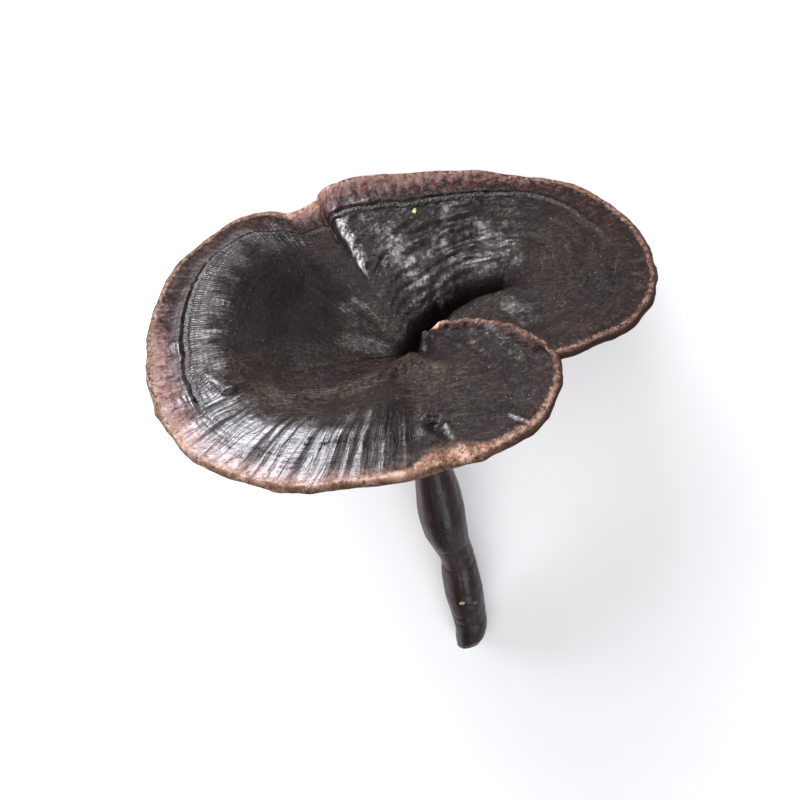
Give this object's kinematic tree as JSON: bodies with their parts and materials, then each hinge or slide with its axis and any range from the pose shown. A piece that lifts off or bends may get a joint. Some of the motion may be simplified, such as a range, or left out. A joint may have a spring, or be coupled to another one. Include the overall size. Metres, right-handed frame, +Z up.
{
  "type": "dried black reishi mushroom",
  "caption": "Dried dark bracket mushroom lying down: a kidney-shaped cap with a lobe turned over its end, growth rings, a reddish band and a pale edge, on a thin knotty cut stem.",
  "frame": {"origin": "on the floor, below the middle of the bounding box", "axes": "+Z up; +Y from the cap towards the cut end of the stem, so that the top of the cap faces -Y; +X to the right for someone who looks at the top of the cap"},
  "size_m": [0.161, 0.178, 0.1097],
  "materials": {
    "crust": "dark satin crust with fine growth rings",
    "stem_crust": "dark satin crust"
  },
  "bodies": {
    "root": {"cap": "crust", "stem": "stem_crust"}
  },
  "joints": []
}
